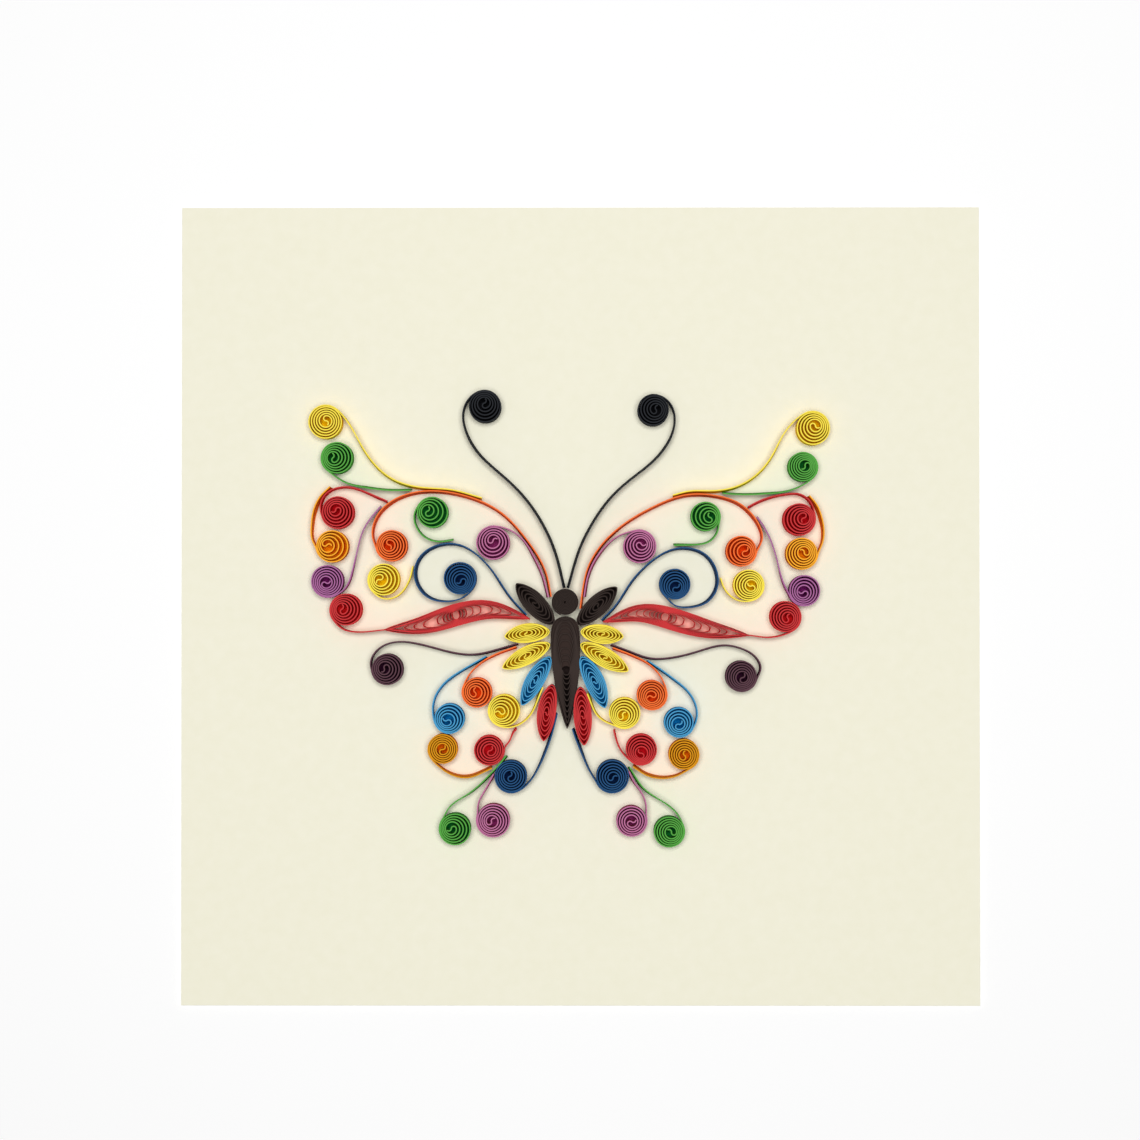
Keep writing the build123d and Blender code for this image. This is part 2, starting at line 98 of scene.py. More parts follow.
# Scrolls: paper, coil centre, coil radius, the core's shift off centre, winding from the core outwards,
# the angle at which the tail leaves the coil, the angle at which the core's ring turns into its hook,
# and the points that the tail passes on its way out
SCROLLS = {
    "left_antenna": ("black_paper", (-17.9, 37.5), 3.05, (0.0, 0.6), CCW, 92, 280,
        [(-20.5, 39.3), (-21.9, 36.6), (-21.5, 32.9), (-19.5, 29.1), (-15.4, 25.1), (-11.1, 21.0),
         (-7.4, 15.8), (-4.7, 9.7), (-3.15, 3.5)]),
    "right_antenna": ("black_paper", (13.7, 36.8), 2.95, (0.4, 0.1), CW, 80, 225,
        [(16.4, 38.5), (17.6, 36.2), (17.5, 33.2), (15.9, 29.7), (13.3, 26.8), (9.3, 23.6), (5.5, 20.0),
         (2.7, 16.1), (-0.1, 10.5), (-2.2, 3.5)]),
    "left_yellow_tip_scroll": ("yellow_paper", (-47.6, 34.6), 3.2, (0.1, 0.2), CW, 46, 90,
        [(-43.1, 34.0), (-40.1, 28.9), (-35.0, 23.9), (-29.1, 22.3), (-24.0, 21.9), (-18.4, 20.4)]),
    "right_yellow_tip_scroll": ("yellow_paper", (43.4, 33.4), 3.2, (0.5, 0.4), CCW, 117, 180,
        [(40.2, 34.9), (38.0, 32.3), (35.7, 28.1), (32.5, 24.4), (28.5, 22.3), (24.4, 21.7), (20.1, 21.6),
         (17.3, 20.9)]),
    "left_green_tip_scroll": ("green_paper", (-45.5, 27.8), 3.0, (-0.7, 0.1), CCW, 200, 300,
        [(-46.6, 25.0), (-44.0, 23.3), (-40.7, 22.4), (-35.6, 21.8), (-31.7, 21.8)]),
    "right_green_tip_scroll": ("green_paper", (41.6, 26.1), 2.8, (0.4, 0.2), CW, 318, 20,
        [(41.8, 22.9), (39.0, 21.7), (34.5, 21.1), (29.3, 21.0), (26.6, 21.2)]),
    "left_red_outer_scroll": ("red_paper", (-45.4, 17.7), 3.05, (-0.3, 0.4), CW, 201, 0,
        [(-48.6, 18.7), (-47.7, 21.0), (-45.7, 22.2), (-43.1, 22.4), (-40.1, 21.5), (-36.1, 19.8)]),
    "right_red_outer_scroll": ("red_paper", (40.9, 16.4), 3.05, (0.8, 0.2), CCW, 9, 90,
        [(43.0, 19.6), (40.9, 21.1), (38.6, 21.1), (35.8, 20.6), (33.0, 19.6), (31.3, 18.7)]),
    "left_amber_outer_scroll": ("amber_paper", (-46.4, 11.4), 3.05, (-0.9, 0.2), CW, 194, 150,
        [(-50.1, 12.5), (-50.3, 14.9), (-49.8, 18.3), (-48.5, 20.8), (-46.8, 22.5)]),
    "right_amber_outer_scroll": ("amber_paper", (41.4, 10.0), 3.0, (0.4, 0.2), CCW, 350, 350,
        [(45.1, 11.6), (45.5, 14.4), (45.0, 17.1), (44.1, 19.2), (42.8, 20.8)]),
    "left_purple_outer_scroll": ("purple_paper", (-47.2, 4.8), 3.05, (-0.3, -0.3), CCW, 293, 225,
        [(-43.9, 3.6), (-42.6, 6.7), (-41.6, 10.8), (-40.6, 14.2), (-39.2, 16.5), (-37.3, 18.8)]),
    "right_purple_outer_scroll": ("purple_paper", (41.8, 3.1), 2.95, (-0.2, -0.4), CW, 204, 330,
        [(38.0, 4.3), (37.0, 7.6), (35.8, 11.7), (34.3, 14.9), (33.0, 16.8)]),
    "left_orange_wing_scroll": ("orange_paper", (-35.3, 11.5), 2.95, (-0.4, 0.1), CW, 196, 90,
        [(-38.8, 12.9), (-37.8, 17.3), (-33.7, 20.6), (-28.1, 21.7), (-21.6, 20.8), (-15.0, 17.8),
         (-9.8, 12.3), (-6.3, 6.1), (-5.42, 1.9)]),
    "right_orange_wing_scroll": ("orange_paper", (30.1, 10.5), 2.9, (0.7, -0.1), CCW, 349, 260,
        [(33.9, 12.3), (33.0, 16.0), (29.6, 19.4), (24.6, 20.9), (19.6, 20.9), (14.0, 18.9), (8.3, 15.6),
         (4.2, 11.9), (1.35, 7.2), (0.3, 2.3), (-0.05, -0.3)]),
    "left_green_inner_scroll": ("green_paper", (-27.7, 17.6), 2.95, (-0.8, 0.3), CCW, 147, 280,
        [(-31.0, 17.4), (-30.4, 14.5), (-28.7, 12.8), (-26.3, 12.2), (-23.8, 12.5)]),
    "right_green_inner_scroll": ("green_paper", (23.4, 16.8), 2.8, (0.8, -0.1), CW, 345, 260,
        [(25.7, 14.3), (24.1, 12.2), (21.4, 11.6), (17.5, 11.5)]),
    "left_pink_inner_scroll": ("pink_paper", (-16.2, 12.0), 3.2, (-0.1, 0.4), CW, 83, 180,
        [(-13.2, 14.4), (-10.4, 12.2), (-8.5, 9.1), (-7.0, 5.8), (-5.95, 1.8)]),
    "right_pink_inner_scroll": ("pink_paper", (11.0, 11.3), 3.15, (0.4, 0.4), CCW, 104, 200,
        [(7.4, 13.4), (4.65, 11.3), (2.35, 8.1), (1.2, 5.0), (0.7, 1.9)]),
    "left_yellow_inner_scroll": ("yellow_paper", (-36.7, 5.0), 3.05, (-0.8, 0.1), CCW, 225, 70,
        [(-36.9, 1.6), (-34.5, 1.9), (-32.6, 3.8), (-31.7, 5.8), (-31.3, 7.6)]),
    "right_yellow_inner_scroll": ("yellow_paper", (31.4, 4.0), 2.95, (0.5, -0.1), CW, 286, 300,
        [(30.0, 1.1), (27.8, 2.3), (26.7, 3.9), (26.2, 5.4)]),
    "left_blue_loop_scroll": ("dark_blue_paper", (-22.5, 5.3), 3.05, (0.2, -0.5), CW, 336, 0,
        [(-22.0, 1.75), (-25.3, 1.0), (-28.5, 1.8), (-30.6, 4.3), (-30.9, 7.4), (-29.2, 10.2), (-26.1, 11.7),
         (-22.5, 11.6), (-19.1, 9.6), (-16.0, 6.2), (-13.0, 1.8), (-10.0, -1.5)]),
    "right_blue_loop_scroll": ("dark_blue_paper", (17.7, 4.2), 2.9, (0.2, -0.6), CCW, 226, 250,
        [(17.5, 0.4), (20.5, -0.1), (23.7, 0.9), (25.6, 3.7), (25.3, 7.2), (23.4, 9.8), (20.3, 11.0),
         (17.0, 10.7), (13.2, 8.5), (9.4, 4.6), (6.4, 0.1), (3.9, -2.5)]),
    "left_plum_scroll": ("plum_paper", (-36.1, -11.6), 2.95, (-0.5, 0.1), CW, 194, 30,
        [(-39.2, -10.5), (-37.8, -7.9), (-35.0, -6.6), (-30.9, -6.7), (-25.3, -8.1), (-19.9, -8.8),
         (-15.2, -7.8), (-11.7, -6.8)]),
    "right_plum_scroll": ("plum_paper", (30.1, -12.9), 2.95, (0.2, -0.3), CCW, 342, 270,
        [(33.7, -11.4), (32.7, -9.3), (30.0, -7.7), (26.8, -7.1), (22.4, -8.1), (17.1, -9.4), (13.0, -9.5),
         (9.1, -8.2), (5.8, -7.0)]),
    "left_orange_lower_scroll": ("orange_paper", (-19.3, -15.9), 2.85, (-0.4, 0.0), CW, 157, 240,
        [(-21.0, -13.0), (-18.8, -10.6), (-16.0, -8.9), (-12.0, -7.4)]),
    "right_orange_lower_scroll": ("orange_paper", (13.4, -16.4), 2.85, (-0.1, -0.3), CCW, 12, 40,
        [(15.3, -13.5), (13.0, -10.8), (9.7, -9.0), (6.1, -7.6)]),
    "left_light_blue_scroll": ("light_blue_paper", (-24.5, -20.8), 2.85, (-0.4, -0.4), CW, 221, 310,
        [(-27.5, -20.4), (-27.3, -17.2), (-25.5, -14.3), (-21.6, -11.5), (-17.6, -9.2)]),
    "right_light_blue_scroll": ("light_blue_paper", (18.5, -21.5), 2.85, (-0.1, -0.4), CCW, 330, 250,
        [(21.8, -20.5), (21.5, -18.1), (20.1, -15.7), (17.7, -13.6), (15.1, -11.7), (12.6, -10.0)]),
    "left_yellow_lower_scroll": ("yellow_paper", (-14.2, -19.4), 3.05, (-0.8, -0.3), CCW, 236, 20,
        [(-13.5, -22.5), (-10.8, -21.6), (-8.9, -19.5), (-7.9, -17.2), (-7.0, -15.0)]),
    "right_yellow_lower_scroll": ("yellow_paper", (8.2, -19.8), 2.95, (-0.3, -0.5), CW, 243, 210,
        [(4.6, -21.4), (2.9, -19.9), (2.0, -18.0), (1.3, -16.2)]),
    "left_ochre_scroll": ("ochre_paper", (-25.7, -26.6), 2.8, (0.0, 0.0), CCW, 217, 260,
        [(-25.9, -30.2), (-23.3, -31.6), (-20.6, -31.8), (-18.2, -30.9), (-16.5, -30.1)]),
    "right_ochre_scroll": ("ochre_paper", (19.3, -27.6), 2.9, (0.1, -0.1), CW, 297, 240,
        [(18.3, -31.4), (15.1, -32.0), (12.1, -31.3), (9.8, -29.8)]),
    "left_red_lower_scroll": ("red_paper", (-17.0, -26.7), 2.85, (0.2, -0.1), CCW, 1, 270,
        [(-13.3, -25.2), (-12.5, -23.5), (-11.9, -22.8)]),
    "right_red_lower_scroll": ("red_paper", (11.3, -26.6), 2.95, (0.0, -0.7), CW, 227, 280,
        [(7.7, -27.0), (6.6, -24.5), (6.2, -23.0)]),
    "left_dark_blue_scroll": ("dark_blue_paper", (-12.9, -31.7), 3.05, (-0.2, 0.1), CCW, 271, 280,
        [(-10.1, -33.3), (-7.9, -30.2), (-6.3, -26.7), (-5.1, -23.1), (-4.3, -19.9)]),
    "right_dark_blue_scroll": ("dark_blue_paper", (5.9, -31.6), 3.15, (0.2, -0.3), CW, 209, 180,
        [(1.6, -30.4), (0.2, -27.3), (-0.8, -24.8), (-1.5, -22.8)]),
    "left_green_lower_scroll": ("green_paper", (-23.4, -41.4), 3.0, (-0.7, 0.0), CW, 146, 0,
        [(-24.6, -37.6), (-21.4, -35.2), (-18.2, -32.6), (-16.1, -30.4), (-14.9, -29.1), (-13.9, -27.8)]),
    "right_green_lower_scroll": ("green_paper", (16.6, -41.9), 2.9, (0.4, -0.1), CCW, 18, 350,
        [(17.7, -38.2), (14.2, -35.6), (11.7, -33.7), (10.1, -31.4), (9.2, -29.9)]),
    "left_pink_lower_scroll": ("pink_paper", (-16.3, -39.8), 3.15, (-0.3, -0.2), CW, 168, 200,
        [(-19.1, -36.9), (-18.0, -34.5), (-16.9, -32.5), (-16.2, -31.2)]),
    "right_pink_lower_scroll": ("pink_paper", (9.6, -39.9), 2.9, (0.0, -0.2), CCW, 11, 225,
        [(12.3, -37.3), (11.4, -34.6), (9.9, -32.4), (9.1, -30.7)]),
}

# Leaves: a scroll as above whose tail is a short neck, the leaf's middle line from the neck inwards, and the
# places along that line, 0 to 1, where the turns come round at the neck's end and at the inner end
LEAVES = {
    "left_red_leaf": (("red_paper", (-43.8, -0.6), 3.05, (-0.7, 0.2), CCW, 216, 290,
        [(-44.6, -4.0), (-41.6, -4.7)]),
        [(-36.7, -4.3), (-30.0, -3.5), (-23.4, -1.55), (-16.9, -0.55), (-9.5, -2.2)],
        [0, 0.01, 0.02, 0.03, 0.04, 0.137, 0.2, 0.267, 0.363, 0.404, 0.43, 0.452, 0.47],
        [1, 0.99, 0.98, 0.97, 0.87, 0.8, 0.74, 0.664, 0.61, 0.565, 0.54, 0.518]),
    "right_red_leaf": (("red_paper", (38.3, -1.9), 2.95, (0.4, -0.2), CW, 308, 225,
        [(37.7, -5.3), (35.1, -5.7)]),
        [(31.5, -5.3), (24.6, -4.3), (17.3, -2.3), (10.8, -1.2), (4.3, -2.8)],
        [0, 0.01, 0.02, 0.03, 0.148, 0.195, 0.263, 0.325, 0.371, 0.448, 0.5, 0.53, 0.55],
        [1, 0.99, 0.98, 0.97, 0.874, 0.83, 0.77, 0.72, 0.68, 0.65, 0.625, 0.6]),
}
LEAF_HALF_WIDTH = 2.1
LEAF_FULLNESS = 0.75

# Petals: paper, outer tip, inner end by the body, half the width, and the bend to the left of the line
# between
PETALS = {
    "left_dark_petal": ("dark_brown_paper", (-12.0, 4.4), (-5.0, -3.2), 2.0, 0.0),
    "right_dark_petal": ("dark_brown_paper", (6.9, 3.7), (-0.55, -3.3), 1.95, 0.0),
    "left_upper_yellow_petal": ("yellow_paper", (-14.2, -5.5), (-5.72, -4.6), 1.8, 0.15),
    "right_upper_yellow_petal": ("yellow_paper", (8.1, -5.6), (0.05, -4.6), 1.8, 0.0),
    "left_lower_yellow_petal": ("yellow_paper", (-14.6, -11.4), (-5.7, -6.9), 1.7, 0.0),
    "right_lower_yellow_petal": ("yellow_paper", (9.0, -12.0), (0.06, -6.9), 1.8, 0.0),
    "left_blue_petal": ("light_blue_paper", (-11.0, -18.4), (-5.65, -9.3), 1.75, 0.2),
    "right_blue_petal": ("light_blue_paper", (4.65, -18.9), (0.2, -9.3), 1.85, -0.3),
    "left_red_petal": ("red_paper", (-6.9, -25.1), (-5.25, -14.5), 1.75, 0.25),
    "right_red_petal": ("red_paper", (0.7, -25.9), (0.0, -15.0), 1.7, -0.1),
}

HEAD_CENTRE = (-2.8, 0.9)
HEAD_RADIUS = 2.65
HEAD_PINHOLE = 0.2
HEAD_PITCH = 1.1 * TOUCHING
HEAD_START = 250           # the angle at which the strip's outer end lies
BODY_LINE = [(-2.4, -22.7), (-2.65, -12.0), (-2.9, -1.85)]
BODY_HALF_WIDTH = 2.78
BODY_WIDEST = 0.8          # place along the body's line, 0 to 1
BODY_FULLNESS = 0.72
BODY_SHOULDER_POWER = 20   # the higher, the squarer the shoulder
BODY_CORE = BODY_LINE[1]
BODY_CORE_PIT = 0.95       # radius of the pit that is left open over the core
BODY_CORE_POINTS = 13
BODY_NEAR_ENDS = [0, 0.015, 0.05, 0.1, 0.15, 0.2, 0.25, 0.3, 0.35, 0.4, 0.445, 0.48]
BODY_FAR_ENDS = [1, 0.988, 0.976, 0.96, 0.935, 0.9, 0.85, 0.79, 0.72, 0.66, 0.61, 0.56]
PETAL_CORE = (0.8, 0.42)   # half length and half width of the innermost turn

# Papers: the foot of the strip, painted with the shade and coloured bounce light of the coils' pits; its
# face; and its top edge, painted paler as a highlight where the light falls
PAPERS = {
    "yellow_paper": ("#FFD600", "#FCD018", "#FFE850"),
    "green_paper": ("#00702A", "#3E9630", "#5AAA48"),
    "red_paper": ("#DC1020", "#DC181E", "#CE3A3C"),
    # Red paper whose foot, and the film under a leaf, are painted pale pink: painted bounce light from the
    # red walls on the card inside the leaf
    "red_paper_pink_glow": ("#FFC4B4", "#DC181E", "#CE3A3C"),
    "amber_paper": ("#FF9A00", "#F48000", "#FFB030"),
    "purple_paper": ("#7C1A6C", "#943C7C", "#AE6A9E"),
    "orange_paper": ("#FF4A00", "#E65016", "#FC7436"),
    "dark_blue_paper": ("#0A2452", "#0C3A6A", "#28527F"),
    "light_blue_paper": ("#007CBE", "#1C88CC", "#4C9ECC"),
    "plum_paper": ("#3A1030", "#4C2030", "#60424C"),
    "ochre_paper": ("#FF7C00", "#DC7C08", "#E0981C"),
    "pink_paper": ("#90286C", "#A84660", "#C0729C"),
    "dark_brown_paper": ("#2A201E", "#382C28", "#3C322E"),
    "black_paper": ("#141418", "#1A1B1F", "#2A2C30"),
}


def linear(hex_code):
    """sRGB hex to the linear values that shaders take, with alpha 1."""
    value = np.array([int(hex_code[i:i + 2], 16) for i in (1, 3, 5)]) / 255
    value = np.where(value <= 0.04045, value / 12.92, ((value + 0.055) / 1.055) ** 2.4)
    return (*value.tolist(), 1.0)


def smooth_line(points, heading=None):
    """A cubic through the points with the bend running on from piece to piece: the slopes at the points come
    from one set of linear equations, with the first slope along heading and the last along the last chord."""
    p = np.asarray(points, float)
    chord = np.diff(p, axis=0)
    gap = np.hypot(*chord.T)
    chord /= gap[:, None]
    n = len(p)
    i = np.arange(1, n - 1)
    system = np.eye(n)
    system[i, i - 1] = gap[1:]
    system[i, i] = 2 * (gap[:-1] + gap[1:])
    system[i, i + 1] = gap[:-1]
    right = np.zeros((n, 2))
    right[0] = chord[0] if heading is None else heading
    right[-1] = chord[-1]
    right[i] = 3 * (gap[1:, None] * chord[:-1] + gap[:-1, None] * chord[1:])
    slope = np.linalg.solve(system, right)
    knot = np.append(0, np.cumsum(gap))
    u = np.linspace(0, knot[-1], max(LEAST_POINTS, int(knot[-1] / STEP)))
    k = np.clip(np.searchsorted(knot, u, side="right") - 1, 0, n - 2)
    g = gap[k, None]
    s = (u[:, None] - knot[k, None]) / g
    return ((2 * s + 1) * (s - 1) ** 2 * p[k] + s * (s - 1) ** 2 * g * slope[k]
            + s ** 2 * (3 - 2 * s) * p[k + 1] + s ** 2 * (s - 1) * g * slope[k + 1])


def unit(degrees):
    """The direction at that angle from +X."""
    return np.array([np.cos(np.radians(degrees)), np.sin(np.radians(degrees))])


def hook(start, heading, bend, ring):
    """The S inside a coil's core: a half turn of half the ring's radius, then most of one the other way."""
    turning = np.repeat([HOOK_BEND, -HOOK_BEND], HOOK_STEPS) * bend
    headings = heading + np.cumsum(turning) - turning / 2
    stride = np.radians(HOOK_BEND) * ring / 2
    return start + stride * np.cumsum(unit(headings).T, axis=0)


def coil(centre, radius, core_shift, winding, leave, hook_angle):
    """From the rim inwards: after its first part turn the radius and the centre slide evenly with the turn,
    so that the turns crowd together on the side that the core has slipped to; the core's ring then runs into
    its hook."""
    rim = radius + SPRING - PAPER / 2
    room = (rim - CORE_RING - np.hypot(*core_shift)) / TOUCHING
    turns = (winding * (leave - hook_angle) / 360) % 1
    turns += np.floor(min(room, MOST_TURNS) - turns)
    wound = np.linspace(0, turns, int(turns * TURN_STEPS))
    angle = leave - winding * 360 * wound
    s = np.clip((wound - RIM_HOLD) / (turns - RIM_HOLD), 0, 1)[:, None]
    path = np.array(centre) + np.array(core_shift) * s + (rim + (CORE_RING - rim) * s) * unit(angle).T
    inner = hook(path[-1], angle[-1] - 90 * winding, -winding, CORE_RING)
    return np.vstack([path, inner])


def scroll(centre, radius, core_shift, winding, leave, hook_angle, route):
    """A coil from its hook out to the rim, and the tail that leaves the rim along the way that it winds."""
    inwards = coil(centre, radius, core_shift, winding, leave, hook_angle)
    tail = smooth_line([inwards[0], *route], winding * unit(leave + 90))
    return np.vstack([inwards[::-1], tail[1:]])


def beside(middle_line, station, offset):
    """Points at those stations along a middle line, 0 to 1, and those distances to its left."""
    line = smooth_line(middle_line)
    direction = np.gradient(line, axis=0)
    direction /= np.hypot(*direction.T)[:, None]
    places = np.linspace(0, 1, len(line))
    at = np.stack([np.interp(station, places, line[:, k]) for k in (0, 1)], axis=1)
    along = np.stack([np.interp(station, places, direction[:, k]) for k in (0, 1)], axis=1)
    return at + np.stack([-along[:, 1], along[:, 0]], axis=1) * offset[:, None]


def flattened(middle_line, outline, near_ends, far_ends, thickness):
    """A long coil pressed flat, from its tip inwards: a turn at angle a lies at the station between its two
    ends that goes with cos a; it keeps to the outline's half width there, less one thickness of paper for
    each turn outside it after the first, and is drawn in to a crescent at its ends."""
    turns = len(near_ends) - FLAT_HOLD
    angle = np.linspace(0, 2 * np.pi * turns, int(turns * TURN_STEPS))
    wound = angle / (2 * np.pi)
    near = np.interp(wound, np.arange(len(near_ends)), near_ends)
    far = np.interp(wound - 0.5, np.arange(len(far_ends)), far_ends)
    station = (near + far) / 2 - (far - near) / 2 * np.cos(angle)
    inset = thickness * (0.5 + PITCH * np.clip(wound - FLAT_HOLD, 0, None))
    width = np.clip(outline(station) - inset, FLAT_LEAST, None)
    width *= np.abs(np.sin(angle)) ** (FLAT_CRESCENT * np.clip(wound - 1, 0, 1))
    return beside(middle_line, station, width * np.sign(np.sin(angle)))


def leaf_outline(station):
    """Half the leaf's width: a sine along it, filled out by a power below one."""
    return LEAF_HALF_WIDTH * np.clip(np.sin(np.pi * station), 0, 1) ** LEAF_FULLNESS


def body_outline(station):
    """Half the body's width: a power of a sine that is fullest four fifths along, closed off round at the
    shoulder."""
    swell = np.clip(np.sin(np.pi / 2 * station / BODY_WIDEST), 0, 1) ** BODY_FULLNESS
    return BODY_HALF_WIDTH * swell * np.sqrt(np.clip(1 - station ** BODY_SHOULDER_POWER, 0, 1))


def petal(tip, inner_end, half_width, bend):
    """A coil pinched at its tip, from the tip inwards: turns of half length a and half width b, both closing
    in on the core, stand at a * cos and b * sin to a power that falls from a point at the rim to an oval at
    the core."""
    tip, inner_end = np.array(tip), np.array(inner_end)
    along = (inner_end - tip) / np.hypot(*(inner_end - tip))
    left = np.array([-along[1], along[0]])
    angle = np.linspace(0, 2 * np.pi * PETAL_TURNS, int(PETAL_TURNS * TURN_STEPS))
    wound = angle / (2 * np.pi)
    s = np.clip((wound - PETAL_HOLD) / (PETAL_TURNS - PETAL_HOLD), 0, 1)
    half_length = np.hypot(*(inner_end - tip)) / 2 - PETAL_PAPER / 2
    a = half_length + (PETAL_CORE[0] - half_length) * s
    b = half_width - PETAL_PAPER / 2
    b += (PETAL_CORE[1] - b) * s
    power = 1 + PETAL_POINT * np.clip(1 - wound / PETAL_POINT_TURNS, 0, 1)
    power = np.where(np.cos(angle) < 0, 1 + (power - 1) * PETAL_BLUNT, power)
    reach = -a * np.cos(angle)
    across = b * np.sign(np.sin(angle)) * np.abs(np.sin(angle)) ** power
    across += bend * (1 - (reach / half_length) ** 2)
    path = (tip + inner_end) / 2 + reach[:, None] * along + across[:, None] * left
    last = path[-1] - path[-2]
    return np.vstack([path, hook(path[-1], np.degrees(np.arctan2(last[1], last[0])), -1, PETAL_CORE[1])])


def tail_foot(path, centre, radius, winding):
    """The lower edge of a scroll: under the upper edge in the coil, and along the tail a step to the side
    that the coil's centre lies on."""
    run = np.gradient(path, axis=0)
    left = np.stack([-run[:, 1], run[:, 0]], axis=1) / np.hypot(*run.T)[:, None]
    away = np.clip((np.hypot(*(path - centre).T) - radius - LEAN_START) / LEAN_RUN, 0, 1)
    return path + TAIL_LEAN * winding * away[:, None] * left


def coil_foot(centre, radius):
    """Points round a coil, just inside its rim."""
    return np.array(centre) + (radius - PAPER) * unit(np.linspace(0, 360, TURN_STEPS, endpoint=False)).T


def layer(outline, share):
    """A flat layer under a coil: the outline, run anticlockwise, carried straight up from the card to that
    share of the strip's height and closed above and below. Gives its points, its faces and UV with height up
    the strip."""
    x, y = outline.T
    if np.sum(x * np.roll(y, -1) - y * np.roll(x, -1)) < 0:
        outline = outline[::-1]
    ring = np.arange(len(outline))
    onward = np.roll(ring, -1)
    levels = [np.insert(outline, 2, CARD_TOP + part * (STRIP_TOP - CARD_TOP), axis=1) for part in (0, share)]
    sides = np.stack([ring, onward, onward + len(ring), ring + len(ring)], axis=1)
    uv = np.stack([np.tile(outline[:, 0], 2) * MM, np.repeat([0, share], len(ring))], axis=1)
    return np.vstack(levels), [*sides.tolist(), ring[::-1].tolist(), (ring + len(ring)).tolist()], uv


def paper_strip(name, slot, path, layers, lower=None, thickness=PAPER, finish=None):
    """A strip on edge: its four-cornered section is carried along the path of its upper edge and that of its
    lower edge, mitred by the upper one's normals; the upper edge wanders by two slow waves along the strip.
    Layers, each an outline and its height as a share of the strip's, fill the foot of the coil. UV holds
    length along the strip and height up it."""
    lower = path if lower is None else lower
    thickness = np.broadcast_to(thickness, len(path))
    kept = np.append(True, np.hypot(*np.diff(path, axis=0).T) > SAME_PLACE)
    path = path[kept] - (0, BUTTERFLY_DROP)
    lower = lower[kept] - (0, BUTTERFLY_DROP)
    thickness = thickness[kept, None]
    run = np.diff(path, axis=0)
    length = np.append(0, np.cumsum(np.hypot(*run.T)))
    run /= np.hypot(*run.T)[:, None]
    normal = np.stack([-run[:, 1], run[:, 0]], axis=1)
    before = np.vstack([normal[:1], normal])
    after = np.vstack([normal, normal[-1:]])
    square = np.clip(1 + np.sum(before * after, axis=1), LEAST_SQUARE, None)
    mitre = (before + after) / square[:, None] * thickness / 2
    phase = np.random.default_rng(sum(name.encode())).uniform(0, 2 * np.pi, 2)
    waves = np.sin(length / EDGE_WAVES[0] + phase[0]) + np.sin(length / EDGE_WAVES[1] + phase[1])
    top = STRIP_TOP + EDGE_WAVER * waves / 2
    n = len(path)
    corner = np.empty((n, 4, 3))
    corner[:, 0, :2] = lower - mitre
    corner[:, 1, :2] = lower + mitre
    corner[:, 2, :2] = path + mitre
    corner[:, 3, :2] = path - mitre
    corner[:, :2, 2] = CARD_TOP
    corner[:, 2:, 2] = top[:, None]
    index = np.arange(4 * n).reshape(n, 4)
    onward = np.roll(index, -1, axis=1)
    sides = np.stack([index[:-1], onward[:-1], onward[1:], index[1:]], axis=-1).reshape(-1, 4)
    faces = np.vstack([sides, index[:1, ::-1], index[-1:]])
    points = [corner.reshape(-1, 3)]
    uv = [np.stack([np.repeat(length, 4) * MM, np.tile([0, 0, 1, 1], n)], axis=1)]
    faces = faces.tolist()
    # The layers take the strip's colour at their height: low ones are sheets of the foot's painted shade and
    # coloured bounce light on the floor of the coil.
    for outline, share in layers:
        start = sum(map(len, points))
        layer_points, layer_faces, layer_uv = layer(outline - (0, BUTTERFLY_DROP), share)
        points.append(layer_points)
        uv.append(layer_uv)
        faces += [[corner_index + start for corner_index in face] for face in layer_faces]
    mesh = bpy.data.meshes.new(name + "_paper")
    mesh.from_pydata((np.vstack(points) * MM).tolist(), [], faces)
    loops = np.concatenate(faces)
    mesh.uv_layers.new(name="strip").data.foreach_set("uv", np.vstack(uv)[loops].ravel())
    mesh.polygons.foreach_set("use_smooth", np.ones(len(mesh.polygons), bool))
    mesh.set_sharp_from_angle(angle=np.radians(EDGE_CORNER))
    mesh.materials.append(paper_material[finish or slot])
    piece = bpy.data.objects.new(name + "_paper", mesh)
    bpy.context.collection.objects.link(piece)
    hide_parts(name)
    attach(piece, "root")


def add(tree, kind, settings=(), inputs=(), links=()):
    """Adds a node: settings are its properties, inputs its sockets' values, links its sockets' sources."""
    node = tree.nodes.new(kind)
    for key, value in dict(settings).items():
        setattr(node, key, value)
    for key, value in dict(inputs).items():
        node.inputs[key].default_value = value
    for key, source in dict(links).items():
        tree.links.new(source, node.inputs[key])
    return node


